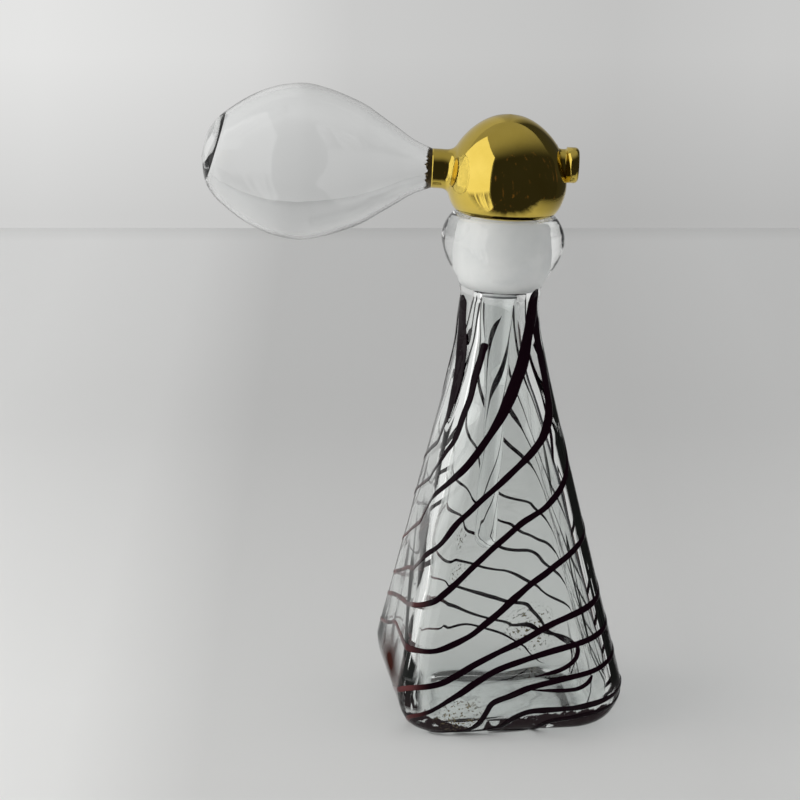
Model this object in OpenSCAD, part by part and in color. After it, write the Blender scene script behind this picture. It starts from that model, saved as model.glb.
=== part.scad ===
// Perfume bottle of thick clear glass with a square, tapering body. Dark trails of glass swirl up its
// outside to a round collar, and the one-piece stopper has the form of a bulb atomiser: a gilded dome
// with a stub of a nozzle, a blown glass bulb on a side stem, a ground plug and a long dauber rod.
// The origin is the centre of the flat foot, +Z points up and the bulb points along -X.

/* [Body] */
// Height of the neck ring above the foot
neck_height = 118.4; // [110:0.1:128]
// Width across the flats at the widest part of the heel
heel_width = 62.6; // [54:0.1:68]
// Height of the widest part of the heel
heel_height = 14; // [10:0.5:18]
// Width across the flats of the ground foot
foot_width = 45; // [38:0.5:52]
// Height of the middle station of the walls
mid_height = 60; // [50:1:68]
// Width across the flats at the middle station
mid_width = 42.4; // [38:0.1:48]
// Height of the waist, where the walls turn upright into the neck
waist_height = 105; // [95:0.5:107]
// Width across the flats at the waist
waist_width = 24.2; // [23:0.1:27]
// Outer radius of the neck ring
neck_r = 10.9; // [10.5:0.1:12]
// Radius of the four rounded upright edges
edge_r = 7.5; // [5:0.5:11]
// Thickness of the walls
wall = 3.2; // [2.6:0.1:4.6]
// Thickness of the solid base
base_thick = 6; // [4:0.5:14]
// Radius of the rounding between the floor and the walls of the reservoir
floor_round = 12; // [6:0.5:14]
// Turn of the square body about the upright axis, in degrees
body_yaw = 7; // [0:1:20]

/* [Lean of the neck] */
// Angle by which the hand-set neck and stopper lean towards +X, in degrees
lean = 3; // [0:0.5:5]
// Height of the point that the leaning axis passes through
lean_height = 117; // [110:0.5:122]
// Height below the neck ring over which the walls pass from upright to leaning
lean_blend = 16; // [10:1:24]

/* [Trails] */
// Width of a trail near the neck
trail_top_w = 2.5; // [1.5:0.1:3]
// Width of a trail near the foot
trail_foot_w = 1.6; // [1:0.1:2.5]
// Height by which a trail stands proud
trail_proud = 0.5; // [0.4:0.1:1]
// Clearance between a trail and the wall that it lies on
trail_gap = 0.2; // [0.15:0.05:0.3]
// Height of the low end of the trails above the foot
trail_foot_z = 2; // [1.5:0.5:5]
// Turn of the swirl from the foot to the neck, in degrees
swirl_turn = 324; // [200:1:360]
// Lag of a trail across the middle of each flat, in degrees
flat_lag = 3; // [0:0.5:6]

/* [Collar] */
// Height of the applied collar
collar_height = 23.2; // [20:0.1:27]
// Largest outer radius of the collar
collar_r = 16.95; // [15:0.05:20]

/* [Plug and rod] */
// Radius of the ground plug at the low end of its taper
plug_r = 8.5; // [8:0.1:9.5]
// Rise in radius of the ground taper for each unit of its height
plug_taper = 0.05; // [0.02:0.01:0.07]
// Clearance between the ground plug and its socket
plug_gap = 0.04; // [0.02:0.01:0.1]
// Height by which the plug stands above the rim of the collar
plug_rise = 0.6; // [0.4:0.1:1.5]
// Height of the rounded low end of the plug
plug_nose = 5; // [4:0.5:6]
// Radius of the shank above the plug, on which the dome turns
shank_r = 7; // [6:0.5:8]
// Height of the shank
shank_height = 3; // [2:0.5:6]
// Radius of the flat end of the plug
plug_end_r = 4.8; // [4.2:0.1:5.5]
// Height of the plug's flat end above the neck ring
plug_end_rise = 1.3; // [0.5:0.1:2]
// Length of the dauber rod
rod_length = 73.8; // [50:0.1:80]
// Radius of the rod below its root
rod_r = 3.85; // [3:0.05:4]
// Radius of the rod above its rounded tip
rod_tip_r = 3; // [2:0.1:3]
// Length of the flared root of the rod
rod_root = 4; // [2:0.5:8]

/* [Dome] */
// Clearance of the dome from the top of the plug and from its shank
dome_gap = 0.1; // [0.05:0.05:0.3]
// Height of the gilded dome
dome_height = 27.1; // [24:0.1:30]
// Largest radius of the dome
dome_r = 16.4; // [15:0.1:18]
// Height of the bulb stem's axis above the underside of the dome
stem_rise = 11.1; // [9:0.1:14]
// Radius of the bulb stem
stem_r = 5.4; // [4.5:0.1:6.5]
// Distance from the dome's axis to the end of the bulb stem
stem_reach = 20.7; // [19:0.1:24]
// Length of the straight end of the bulb stem
stem_straight = 1.8; // [1:0.1:3]
// Length of the flare that joins the stem to the dome
flare_length = 7; // [5:0.5:9]
// Rise in the stem's radius over the flare
flare_rise = 3.5; // [1:0.5:4]
// Height of the nozzle's axis above the underside of the dome
nozzle_rise = 13.9; // [10:0.1:16]
// Radius of the nozzle
nozzle_r = 4.9; // [3.5:0.1:6]
// Distance from the dome's axis to the face of the nozzle
nozzle_reach = 19.4; // [18.5:0.1:23]
// Length of the nozzle's head
nozzle_length = 4; // [3:0.1:4.5]
// Radius of the rounded rim of the nozzle
nozzle_round = 1.2; // [0.5:0.1:1.5]
// Depth of the groove between the nozzle's head and the dome
nozzle_groove = 0.6; // [0.2:0.1:1.2]

/* [Bulb] */
// Length of the blown bulb from the stem to its far end
bulb_length = 63; // [50:0.1:75]
// Largest radius of the bulb
bulb_r = 21.4; // [17:0.1:24]
// Thickness of the blown wall
bulb_wall = 1; // [0.7:0.1:1.5]
// Thickness of the solid lens of glass at the far end, on the bulb's axis
seal_thick = 3.7; // [3:0.1:5]
// Angle by which the inner face of the lens is turned up from square to the bulb's axis, in degrees
seal_tilt = 14; // [0:1:18]

/* [Hidden] */
// Shares of the neck's height, from the foot up, at which the swirl has its stations
swirl_height_shares = [0, 0.12, 0.25, 0.35, 0.5, 0.65, 0.8, 1];
// Share of the swirl's turn that is done at each station
swirl_turn_shares = [0, 0.173, 0.373, 0.489, 0.63, 0.782, 0.895, 1];
// Place of each trail at the neck, as a share of the way round from the corner between +X and +Y
trail_start_shares = [0.745, 0.866, 0.986, 0.117, 0.232, 0.31, 0.398, 0.502, 0.605];
// Share of the neck's height at which each trail ends
trail_top_shares = [1, 1, 1, 1, 1, 1, 1, 1, 0.89];
// Width and height of the points of a trail's section, from its left edge over its crown
trail_section_shares = [[-0.5, 0], [0.5, 0], [0.31, 0.72], [0, 1], [-0.31, 0.72]];
// Share of the half width that rounds the corners at the neck, where the section is almost a circle
neck_round_share = 0.97;
// Share of the half width that rounds the corners of the reservoir at its floor
reservoir_round_share = 0.2;
// Outline of the collar above its seat, up to its rim, as shares of its height and its largest radius
collar_shares = [[0.12, 0.665], [0.23, 0.718], [0.36, 0.833], [0.5, 0.932], [0.685, 1],
    [0.83, 0.972], [0.94, 0.895], [1, 0.8]];
// Outline of the dome from its underside to its crown, as shares of its height and its largest radius
dome_shares = [[0, 0.79], [0.03, 0.865], [0.12, 0.945], [0.25, 1], [0.4, 0.995], [0.53, 0.95],
    [0.664, 0.855], [0.79, 0.7], [0.9, 0.49], [0.97, 0.26], [1, 0]];
// Outline of the bulb from the stem to its far end, as shares of its length and its largest radius
bulb_shares = [[0, 0.25], [0.08, 0.35], [0.15, 0.485], [0.22, 0.618], [0.29, 0.752], [0.37, 0.855],
    [0.46, 0.945], [0.56, 1], [0.665, 0.963], [0.745, 0.884], [0.82, 0.768], [0.89, 0.622],
    [0.94, 0.49], [0.98, 0.3], [1, 0]];

$fn = 96;

// Steps of the body's skin round a corner, along a flat, up the heel, the walls, the neck and the floor
corner_steps = 6;
flat_steps = 3;
heel_steps = 6;
wall_steps = 11;
neck_steps = 4;
floor_steps = 5;
// Steps of a trail along its length, and how much closer they lie near the foot
trail_steps = 96;
trail_crowding = 1.15;
// Small step along the skin for finding its direction
probe = 0.02;
// Steps of a revolved outline between two of its stations
outline_steps = 3;

heel_half = heel_width/2;
heel_tuck = (heel_width - foot_width)/2;
wall_heights = [heel_height, mid_height, waist_height, neck_height];
wall_halves = [heel_half, mid_width/2, waist_width/2, neck_r];
collar_seat = neck_height - lean_height;
collar_rim = collar_seat + collar_height;
throat_r = neck_r - wall;
plug_end = collar_seat + plug_end_rise;
plug_base = plug_end + plug_nose;
plug_top = collar_rim + plug_rise;
dome_base = plug_top + dome_gap;
stem_w = dome_base + stem_rise;
nozzle_w = dome_base + nozzle_rise;

// Smooth curves

function ramp(x) = let (c = min(1, max(0, x))) c*c*(3 - 2*c);

// Slope of the curve through the stations (xs, ys) at station i
function slope_at(i, xs, ys) =
    let (last = len(xs) - 1,
         a = max(i - 1, 0),
         b = min(i + 1, last))
    (ys[b] - ys[a])/(xs[b] - xs[a]);

// Number of the span of the stations xs that holds x
function span_of(x, xs, i = 0) = i >= len(xs) - 2 || x < xs[i + 1] ? i : span_of(x, xs, i + 1);

// Height at x of the smooth curve through the stations (xs, ys)
function curve_at(x, xs, ys) =
    let (i = span_of(x, xs),
         d = xs[i + 1] - xs[i],
         t = (x - xs[i])/d,
         m0 = slope_at(i, xs, ys)*d,
         m1 = slope_at(i + 1, xs, ys)*d)
    ys[i]*(1 + 2*t)*(1 - t)*(1 - t) + m0*t*(1 - t)*(1 - t)
        + ys[i + 1]*t*t*(3 - 2*t) - m1*t*t*(1 - t);

// Points of the smooth curve through plane points, with equal steps between each two
function smooth(points) =
    let (last = len(points) - 1)
    [for (i = [0:last - 1])
        let (p0 = points[max(i - 1, 0)],
             p1 = points[i],
             p2 = points[i + 1],
             p3 = points[min(i + 2, last)])
        for (k = [0:outline_steps - 1])
            let (t = k/outline_steps)
            ((2*p1) + (p2 - p0)*t + (2*p0 - 5*p1 + 4*p2 - p3)*t*t + (3*p1 - p0 - 3*p2 + p3)*t*t*t)/2,
     points[last]];

// Stations of an outline given as shares of a height and a radius, as [radius, height] points
function stations(shares, height, radius) = [for (s = shares) [s[1]*radius, s[0]*height]];

// Skin of the body

// Half the width across the flats outside, at height z
function outer_half(z) =
    z < heel_height
    ? heel_half - heel_tuck*(1 - sqrt(1 - pow(1 - z/heel_height, 2)))
    : curve_at(z, wall_heights, wall_halves);

// Radius of the rounded edges outside, at height z
function outer_corner(z) =
    let (t = pow(max(0, z - mid_height)/(neck_height - mid_height), 2))
    edge_r*(1 - t) + neck_round_share*outer_half(z)*t;

// Half the width across the flats of the reservoir, at height z
function inner_half(z) =
    let (u = max(0, 1 - (z - base_thick)/floor_round))
    outer_half(z) - wall - floor_round*(1 - sqrt(1 - u*u));

// Radius of the rounded edges of the reservoir, at height z
function inner_corner(z) =
    let (t = pow(max(0, z - base_thick)/(neck_height - base_thick), 2))
    inner_half(z)*(reservoir_round_share*(1 - t) + neck_round_share*t);

function turned(p, angle) = [p.x*cos(angle) - p.y*sin(angle), p.x*sin(angle) + p.y*cos(angle)];

// Point of the upright, square body moved to where the yaw and the lean of the neck put it
function placed(p) =
    let (q = turned(p, body_yaw),
         angle = lean*ramp(1 + (p.z - neck_height)/lean_blend),
         rise = p.z - lean_height)
    [q.x*cos(angle) + rise*sin(angle), q.y, lean_height - q.x*sin(angle) + rise*cos(angle)];

// Points round a square with rounded corners, counter-clockwise
function rounded_square(half, corner) =
    [for (side = [0:3])
        for (p = concat(
            [for (i = [0:corner_steps])
                (half - corner)*[1, 1] + corner*[cos(90*i/corner_steps), sin(90*i/corner_steps)]],
            [for (i = [1:flat_steps - 1]) [(half - corner)*(1 - 2*i/flat_steps), half]]))
            turned(p, 90*side)];

function ring(half, corner, z) = [for (p = rounded_square(half, corner)) placed([p.x, p.y, z])];

// Point of a rounded square at the given turn round its outline, which starts at a corner's middle
function perimeter_point(turn, half, corner) =
    let (side = floor(turn/90),
         arc = PI*corner/2,
         flat = 2*(half - corner),
         s = (turn/90 - side)*(arc + flat),
         inset = half - corner,
         a = (s < arc/2 ? s : s - arc - flat)/corner*180/PI,
         p = s < arc/2 ? [inset + corner*cos(45 + a), inset + corner*sin(45 + a)]
           : s < arc/2 + flat ? [inset - (s - arc/2), half]
           : [-inset + corner*cos(135 + a), inset + corner*sin(135 + a)])
    turned(p, 90*side);

// Point of the body's outer skin
function skin_point(turn, z) =
    let (p = perimeter_point(turn, outer_half(z), outer_corner(z)))
    placed([p.x, p.y, z]);

// Triangles between rings of n points each, which stand one above the other
function tube_faces(rings, n) =
    [for (j = [0:rings - 2])
        for (i = [0:n - 1])
            let (a = j*n + i,
                 b = j*n + (i + 1)%n)
            for (f = [[a, a + n, b + n], [a, b + n, b]]) f];

module closed_tube(rings) {
    n = len(rings[0]);
    count = len(rings);
    polyhedron(
        points = [for (r = rings) for (p = r) p],
        faces = concat(
            [[for (i = [0:n - 1]) i]],
            tube_faces(count, n),
            [[for (i = [0:n - 1]) count*n - 1 - i]]),
        convexity = 10);
}

heel_heights = [for (i = [0:heel_steps - 1]) heel_height*(1 - cos(90*i/heel_steps))];
side_heights = [for (i = [0:wall_steps - 1])
    heel_height + (waist_height - heel_height)*i/wall_steps];
neck_heights = [for (i = [0:neck_steps]) waist_height + (neck_height - waist_height)*i/neck_steps];
outer_heights = concat(heel_heights, side_heights, neck_heights);
floor_top = base_thick + floor_round;
upper_heights = [for (i = [0:neck_steps - 1]) neck_height - (neck_height - waist_height)*i/neck_steps];
lower_heights = [for (i = [0:wall_steps - 1]) waist_height - (waist_height - floor_top)*i/wall_steps];
floor_heights = [for (i = [0:floor_steps])
    base_thick + floor_round*(1 - sin(90*i/floor_steps))];
inner_heights = concat(upper_heights, lower_heights, floor_heights);

module bottle_body() {
    color([0.86, 0.9, 0.89, 0.35])
        closed_tube(concat(
            [for (z = outer_heights) ring(outer_half(z), outer_corner(z), z)],
            [for (z = inner_heights) ring(inner_half(z), inner_corner(z), z)]));
}

// Trails

// Turn round the outline of trail number i at height z
function trail_turn(i, z) =
    let (share = curve_at(z/neck_height, swirl_height_shares, swirl_turn_shares),
         turn = 360*(1 + trail_start_shares[i]) - swirl_turn*(1 - share))
    turn - flat_lag*cos(4*(turn - 45));

function trail_width(z) = trail_foot_w + (trail_top_w - trail_foot_w)*ramp(z/neck_height);

// Section of a trail at height z: its points lie on the skin's tangent plane and above it
function trail_ring(i, z) =
    let (turn = trail_turn(i, z),
         here = skin_point(turn, z),
         along = skin_point(trail_turn(i, z + probe), z + probe) - here,
         round = skin_point(turn + probe, z) - here,
         up = skin_point(turn, z + probe) - here,
         normal = cross(round, up)/norm(cross(round, up)),
         side = cross(along, normal)/norm(cross(along, normal)))
    [for (s = trail_section_shares)
        here + side*s[0]*trail_width(z) + normal*(trail_gap + s[1]*trail_proud)];

module trail(i) {
    top = neck_height*trail_top_shares[i] - trail_top_w/4;
    span = top - trail_foot_z;
    color([0.13, 0.04, 0.06])
        closed_tube([for (k = [0:trail_steps])
            trail_ring(i, trail_foot_z + span*pow(k/trail_steps, trail_crowding))]);
}

// Collar, plug and rod, on the leaning axis

module leaning() {
    translate([0, 0, lean_height])
        rotate([0, lean, 0])
            children();
}

function plug_radius(w) = plug_r + plug_taper*(w - plug_base);

module neck_collar() {
    outside = smooth(concat([[neck_r, 0]], stations(collar_shares, collar_height, collar_r)));
    // The throat follows the rounded end of the plug and leaves it clear
    throat = [for (i = [0:corner_steps])
        let (a = 90*i/corner_steps)
        [throat_r + (plug_r + plug_gap - throat_r)*cos(a), plug_base + (collar_seat - plug_base)*sin(a)]];
    color([0.88, 0.92, 0.92, 0.35])
        leaning()
            rotate_extrude()
                polygon(concat(
                    [for (p = outside) [p.x, p.y + collar_seat]],
                    [[plug_radius(collar_rim) + plug_gap, collar_rim]],
                    throat));
}

module ground_plug() {
    nose = [for (i = [0:corner_steps - 1])
        let (a = 90*i/corner_steps)
        [plug_end_r + (plug_r - plug_end_r)*sin(a), plug_base - plug_nose*cos(a)]];
    color([0.95, 0.95, 0.95])
        leaning()
            rotate_extrude()
                polygon(concat(
                    [[0, plug_end]],
                    nose,
                    [[plug_r, plug_base],
                     [plug_radius(plug_top), plug_top],
                     [shank_r, plug_top],
                     [shank_r, plug_top + shank_height],
                     [0, plug_top + shank_height]]));
}

module dauber_rod() {
    tip = plug_end - rod_length;
    rounding = [for (i = [0:corner_steps])
        let (a = 90*i/corner_steps)
        [rod_tip_r*sin(a), tip + rod_tip_r*(1 - cos(a))]];
    color([0.88, 0.92, 0.92, 0.4])
        leaning()
            rotate_extrude()
                polygon(concat(
                    rounding,
                    [[rod_r, plug_end - rod_root],
                     [(rod_r + plug_end_r)/2, plug_end],
                     [0, plug_end]]));
}

// Gilded head and blown bulb

module dome_solid() {
    outside = smooth(stations(dome_shares, dome_height, dome_r));
    translate([0, 0, dome_base])
        rotate_extrude()
            polygon(concat([[0, 0]], outside));
}

module gilded_dome() {
    color([0.85, 0.65, 0.2])
        leaning()
            difference() {
                dome_solid();
                translate([0, 0, plug_top])
                    cylinder(h = dome_gap + shank_height, r = shank_r + dome_gap);
            }
}

// Turns a solid of revolution about Z to point along -X at the stem's height
module along_stem() {
    translate([0, 0, stem_w])
        rotate([0, -90, 0])
            children();
}

module bulb_stem() {
    root = stem_reach - stem_straight - flare_length;
    flare = [for (i = [0:corner_steps])
        let (a = 90*i/corner_steps)
        [stem_r + flare_rise*(1 - sin(a)), root + flare_length*(1 - cos(a))]];
    color([0.8, 0.6, 0.18])
        leaning()
            difference() {
                along_stem()
                    rotate_extrude()
                        polygon(concat(
                            [[0, root]],
                            flare,
                            [[stem_r, stem_reach], [0, stem_reach]]));
                dome_solid();
            }
}

module spray_nozzle() {
    root = dome_r/2;
    head = nozzle_reach - nozzle_length;
    neck = nozzle_r - nozzle_groove;
    rim = [for (i = [0:corner_steps])
        let (a = 90*i/corner_steps)
        [nozzle_r - nozzle_round*(1 - cos(a)), nozzle_reach - nozzle_round*(1 - sin(a))]];
    color([0.8, 0.6, 0.18])
        leaning()
            difference() {
                translate([0, 0, nozzle_w])
                    rotate([0, 90, 0])
                        rotate_extrude()
                            polygon(concat(
                                [[0, root], [neck, root], [neck, head], [nozzle_r, head + nozzle_groove]],
                                rim,
                                [[0, nozzle_reach]]));
                dome_solid();
            }
}

bulb_outline = smooth(stations(bulb_shares, bulb_length, bulb_r));

// Half space beyond the inner face of the lens, as a disc that covers all of the bulb's far end
module lens_side() {
    translate([0, 0, bulb_length - seal_thick])
        rotate([0, seal_tilt, 0])
            cylinder(h = bulb_length, r = 2*bulb_r);
}

module on_stem() {
    leaning()
        along_stem()
            translate([0, 0, stem_reach])
                children();
}

module glass_bulb() {
    last = len(bulb_outline) - 2;
    inside = [for (i = [0:last]) bulb_outline[last - i] - [bulb_wall, 0]];
    color([0.93, 0.95, 0.95, 0.25])
        on_stem()
            difference() {
                rotate_extrude()
                    polygon(concat(
                        [for (i = [0:last]) bulb_outline[i]],
                        [for (p = inside) [max(p.x, 0), p.y]]));
                lens_side();
            }
}

module bulb_end_seal() {
    color([0.93, 0.95, 0.95, 0.35])
        on_stem()
            intersection() {
                rotate_extrude()
                    polygon(concat([[0, 0]], bulb_outline));
                lens_side();
            }
}

bottle_body();
neck_collar();
for (i = [1:len(trail_start_shares)])
    trail(i - 1);
ground_plug();
dauber_rod();
gilded_dome();
bulb_stem();
spray_nozzle();
glass_bulb();
bulb_end_seal();
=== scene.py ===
"""Looks of the perfume bottle: clear body with dark trails, round collar, gilded stopper with a glass bulb.

Everything is in metres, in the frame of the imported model: the foot stands on z = 0, +Z is up, the bulb
points along -X and the camera looks along +Y.
"""
from math import atan2, cos, degrees, floor, hypot, pi, radians, sin, sqrt, tan

import bpy
from mathutils import Matrix, Vector, noise


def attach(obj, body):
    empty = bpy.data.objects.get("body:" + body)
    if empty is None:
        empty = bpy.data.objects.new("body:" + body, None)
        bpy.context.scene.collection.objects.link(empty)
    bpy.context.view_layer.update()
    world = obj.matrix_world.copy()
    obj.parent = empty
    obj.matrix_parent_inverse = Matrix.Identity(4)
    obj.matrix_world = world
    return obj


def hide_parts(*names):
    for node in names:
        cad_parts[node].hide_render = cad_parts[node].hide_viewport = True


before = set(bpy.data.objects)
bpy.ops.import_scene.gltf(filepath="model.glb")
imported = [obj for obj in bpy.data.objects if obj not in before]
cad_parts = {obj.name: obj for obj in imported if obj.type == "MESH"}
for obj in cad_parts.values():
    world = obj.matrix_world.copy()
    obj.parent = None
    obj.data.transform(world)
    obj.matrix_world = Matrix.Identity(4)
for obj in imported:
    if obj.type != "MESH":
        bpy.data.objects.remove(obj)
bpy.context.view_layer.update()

MM = 0.001

# Body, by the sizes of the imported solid; the floor and the neck's channel are finer here
NECK_HEIGHT = 118.4*MM
HEEL_WIDTH = 62.6*MM
HEEL_HEIGHT = 14*MM
FOOT_WIDTH = 45*MM
MID_HEIGHT = 60*MM
MID_WIDTH = 42.4*MM
WAIST_HEIGHT = 105*MM
WAIST_WIDTH = 24.2*MM
NECK_R = 10.9*MM
EDGE_R = 7.5*MM
# How far the skin widens from the neck into the collar's foot, and over which height
COLLAR_FLARE = 0.37*MM
COLLAR_FLARE_HEIGHT = 2.78*MM
COLLAR_FLARE_POWER = 1.9
WALL = 3.2*MM
BASE_THICK = 2.5*MM
FLOOR_ROUND = 5*MM
CHANNEL_R = 4.9*MM
CHANNEL_START = 62*MM
CHANNEL_FULL = 108*MM
BODY_YAW = radians(7)
RESERVOIR_ROUND_SHARE = 0.2
# The ground foot is a rim round a shallow hollow: shares of the foot's width, and heights in mm
UNDERSIDE = [(0.02, 1.1), (0.25, 1.1), (0.5, 1.05), (0.7, 0.85), (0.8, 0.5), (0.86, 0.15), (0.9, 0.0),
             (0.98, 0.0)]
FLOOR_DIP = 0.4*MM
FLOOR_SHARES = (0.8, 0.6, 0.4, 0.2, 0.02)
# Slow waves of the skin and of the inside: depth and size
SKIN_WAVE = (0.12*MM, 14*MM)
INSIDE_WAVE = (0.35*MM, 11*MM)
# The waves die out over this height under the neck's end
CALM_HEIGHT = 12*MM
BODY_COLUMNS = 160
HEEL_ROWS = 18
WALL_ROWS = 64
INSIDE_ROWS = 54
FLOOR_ROWS = 14
# Height that the underside has for the paint, below everything that is painted
UNPAINTED = -20

# Lean of the neck and the stopper
LEAN = radians(3)
LEAN_HEIGHT = 117*MM
LEAN_BLEND = 16*MM

# Trails: widths on the front and the rear face, at the foot of each, and in mm at the neck
FRONT_W = 1.75*MM
REAR_W = 0.9*MM
FOOT_W = 1.75*MM
REAR_FOOT_W = 0.35*MM
NECK_WIDTHS = [4.2, 4.0, 3.0, 1.6, 3.2, 2.2, 2.2, 5.2, 2.1]
# Height at which the width starts to change towards the neck's and the foot's, and over which it does
NECK_WIDENING = (70*MM, 40*MM)
FOOT_NARROWING = (3.5*MM, 4*MM)
# Unevenness by slow noise: a share of the width, and degrees of turn
WIDTH_WANDER = 0.28
TURN_WANDER = 0.35
FOOT_Z = 0.5*MM
FOOT_TOP = 6.5*MM
# Degrees of turn that a trail's foot takes, at the rear and at the front
REAR_FOOT_TURN = 15
FOOT_TURN = 25
FOOT_STEPS = 14
# Height between the stations of a run that no pixels show, and over which a trail's own offset fades there
STATION = 3*MM
OFFSET_FADE = 12*MM
# Degrees of turn that count like 1 mm of height, and mm between stations where pixels show the run
TURN_MEASURE = 3
SHOWN_STATION = 5
# The trail that stops short of the collar ends in a drop, and one trail tapers to its end
DROP_TRAIL = 8
DROP_LENGTH = 4*MM
DROP_STEPS = 16
TAPER_TRAIL = 3
TAPER_STEPS = 10
TRAIL_STEP = 1.1*MM
BRANCH_STEP = 0.7*MM
# Section of a trail: points round it, how far it stands out of the skin and reaches in, and its lift
TRAIL_SIDES = 12
TRAIL_OUT = 0.12*MM
TRAIL_IN = 0.3*MM
TRAIL_LIFT = 0.05*MM
# Narrower than this, a trail is also thinner
THIN_HALF = 0.4*MM
# Mm that each trail runs on above the neck's end
TOP_RUNS = [4, 3, 1.5, -6, -0.2, 0.8, 0.4, 0.6, 0]
# The swirl that all trails follow: its degrees of turn up the neck, its lag on the flat faces, and the shares
# of its turn at shares of the height; then each trail's start and top, as shares of a turn and of the height
SWIRL_TURN = 324
FLAT_LAG = 3
SWIRL_HEIGHTS = [0, 0.12, 0.25, 0.35, 0.5, 0.65, 0.8, 1]
SWIRL_TURNS = [0, 0.173, 0.373, 0.489, 0.63, 0.782, 0.895, 1]
TRAIL_STARTS = [0.745, 0.866, 0.986, 0.117, 0.232, 0.31, 0.398, 0.502, 0.605]
TRAIL_TOPS = [1, 1, 1, 1, 1, 1, 1, 1, 0.89]

# Collar, plug and rod. The plug's nose and the throat under it are bowl-shaped here.
COLLAR_HEIGHT = 23.2*MM
COLLAR_R = 16.95*MM
PLUG_R = 8.5*MM
PLUG_TAPER = 0.05
PLUG_GAP = 0.04*MM
PLUG_RISE = 0.6*MM
PLUG_NOSE = 5*MM
ROUND_NOSE = 3*MM
BOWL_DEPTH = 2.9*MM
SHANK_R = 7*MM
SHANK_HEIGHT = 3*MM
PLUG_END_R = 4.8*MM
PLUG_END_RISE = 1.3*MM
ROD_LENGTH = 73.8*MM
ROD_R = 3.85*MM
ROD_TIP_R = 3*MM
ROD_ROOT = 4*MM
RIM_SHARES = (0.83, 0.74)
RIM_LIP = 0.7*MM

# Head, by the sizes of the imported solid
DOME_GAP = 0.1*MM
DOME_HEIGHT = 27.1*MM
DOME_R = 16.4*MM
STEM_RISE = 11.1*MM
STEM_R = 5.4*MM
STEM_REACH = 20.7*MM
STEM_STRAIGHT = 1.8*MM
FLARE_R = 7*MM
NOZZLE_RISE = 13.9*MM
NOZZLE_R = 4.9*MM
NOZZLE_REACH = 19.4*MM
NOZZLE_LENGTH = 4*MM
NOZZLE_ROUND = 1.2*MM
NOZZLE_GROOVE = 0.6*MM
NOZZLE_FLARE = 1.2*MM
NOZZLE_FLARE_LENGTH = 1.4*MM
# Outline of the orifice: radii and depths
ORIFICE = [(1.1*MM, 0), (0.9*MM, 0.1*MM), (0.7*MM, 0.5*MM), (0, 0.5*MM)]
BULB_LENGTH = 63*MM
BULB_R = 21.4*MM
BULB_WALL = 0.95*MM
SEAL_THICK = 3.7*MM
SEAL_TILT = radians(14)
SEAL_SAG = 1*MM

# Outlines: shares of the height, or of the bulb's length from the stem on, and of the radius
COLLAR_SHARES = [[0.12, 0.665], [0.23, 0.718], [0.36, 0.833], [0.5, 0.932], [0.685, 1],
                 [0.83, 0.972], [0.94, 0.895], [1, 0.8]]
DOME_SHARES = [[0, 0.79], [0.03, 0.865], [0.12, 0.945], [0.25, 1], [0.4, 0.995], [0.53, 0.95],
               [0.664, 0.855], [0.79, 0.7], [0.9, 0.49], [0.97, 0.26], [1, 0]]
BULB_SHARES = [[0, 0.25], [0.08, 0.35], [0.15, 0.485], [0.22, 0.618], [0.29, 0.752], [0.37, 0.855],
               [0.46, 0.945], [0.56, 1], [0.665, 0.963], [0.745, 0.884], [0.82, 0.768], [0.89, 0.622],
               [0.94, 0.49], [0.98, 0.3], [1, 0]]

# Camera, fitted to the outline of the body in the photograph
FOCAL_PX = 3290
IMAGE_PX = 800
SENSOR_MM = 36
CAMERA_PITCH = radians(14.7)
CAMERA_PLACE = Vector((-0.0274, -0.8865, 0.3214))
# Row of the photograph where the table meets the wall
WALL_ROW = 228
TABLE_END = CAMERA_PLACE.y + CAMERA_PLACE.z/tan(CAMERA_PITCH - atan2(IMAGE_PX/2 - WALL_ROW, FOCAL_PX))

# Heights on the leaning axis, from its pivot
COLLAR_SEAT = NECK_HEIGHT - LEAN_HEIGHT
COLLAR_RIM = COLLAR_SEAT + COLLAR_HEIGHT
PLUG_END = COLLAR_SEAT + PLUG_END_RISE
PLUG_BASE = PLUG_END + PLUG_NOSE
PLUG_TOP = COLLAR_RIM + PLUG_RISE
NOSE_BASE = PLUG_BASE + ROUND_NOSE
BOWL_END = COLLAR_SEAT + BOWL_DEPTH
DOME_BASE = PLUG_TOP + DOME_GAP
STEM_W = DOME_BASE + STEM_RISE
NOZZLE_W = DOME_BASE + NOZZLE_RISE

LEANING = Matrix.Translation((0, 0, LEAN_HEIGHT)) @ Matrix.Rotation(LEAN, 4, "Y")
ALONG_STEM = LEANING @ Matrix.Translation((0, 0, STEM_W)) @ Matrix.Rotation(-pi/2, 4, "Y")
ALONG_NOZZLE = LEANING @ Matrix.Translation((0, 0, NOZZLE_W)) @ Matrix.Rotation(pi/2, 4, "Y")
ON_STEM = ALONG_STEM @ Matrix.Translation((0, 0, STEM_REACH))


# Curves and meshes

def ramp(x):
    c = min(1.0, max(0.0, x))
    return c*c*(3 - 2*c)


def curve_at(x, xs, ys):
    """Value at x of the smooth curve through the stations."""
    last = len(xs) - 1
    i = 0
    while i < last - 1 and x >= xs[i + 1]:
        i += 1

    def slope(k):
        a, b = max(k - 1, 0), min(k + 1, last)
        return (ys[b] - ys[a])/(xs[b] - xs[a])

    d = xs[i + 1] - xs[i]
    t = (x - xs[i])/d
    m0, m1 = slope(i)*d, slope(i + 1)*d
    return (ys[i]*(1 + 2*t)*(1 - t)**2 + m0*t*(1 - t)**2
            + ys[i + 1]*t*t*(3 - 2*t) - m1*t*t*(1 - t))


def quarter(steps, first=0):
    """(sine, 1 - cosine) of evenly spaced angles over a quarter turn."""
    angles = [radians(90*i/steps) for i in range(first, steps + 1)]
    return [(sin(a), 1 - cos(a)) for a in angles]


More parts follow.
